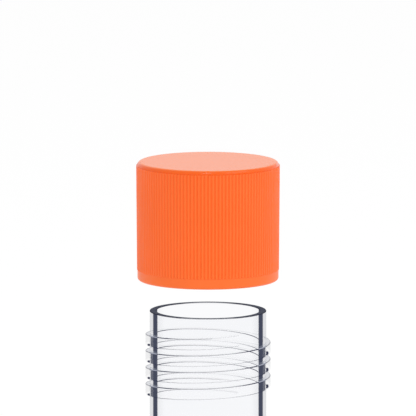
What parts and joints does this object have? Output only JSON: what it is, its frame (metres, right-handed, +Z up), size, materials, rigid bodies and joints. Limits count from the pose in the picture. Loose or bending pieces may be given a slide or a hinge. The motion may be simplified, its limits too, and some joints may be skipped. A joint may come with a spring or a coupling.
{
  "type": "cryovial",
  "caption": "Clear cryogenic sample tube with an outside screw thread and a hollow foot, and an orange ribbed screw cap with a sealing ring, held above its open mouth.",
  "frame": {"origin": "middle of the foot, on the surface that the tube stands on", "axes": "+Z up along the tube's axis, from foot to cap; -Y is where the upper end of the tube's thread lies"},
  "size_m": [0.0126, 0.0124, 0.0596],
  "materials": {
    "clear_plastic": "clear, polished",
    "cap_plastic": "satin",
    "silicone": "matte, translucent white"
  },
  "bodies": {
    "tube": {"vial_tube": "clear_plastic"},
    "seal": {"sealing_ring": "silicone"},
    "cap": {"screw_cap": "cap_plastic"}
  },
  "joints": [
    {"name": "cap_lift", "type": "slide", "parent": "tube", "child": "seal", "axis": [0, 0, 1], "range_m": [-0.0111, 0]},
    {"name": "cap_turn", "type": "hinge", "parent": "seal", "child": "cap", "pos_m": [0, 0, 0.0546], "axis": [0, 0, 1], "range_deg": [-2737.49, 0]}
  ],
  "couplings": [
    {"joint": "cap_turn", "follows": "cap_lift", "rad_per_m": 4303.6}
  ]
}
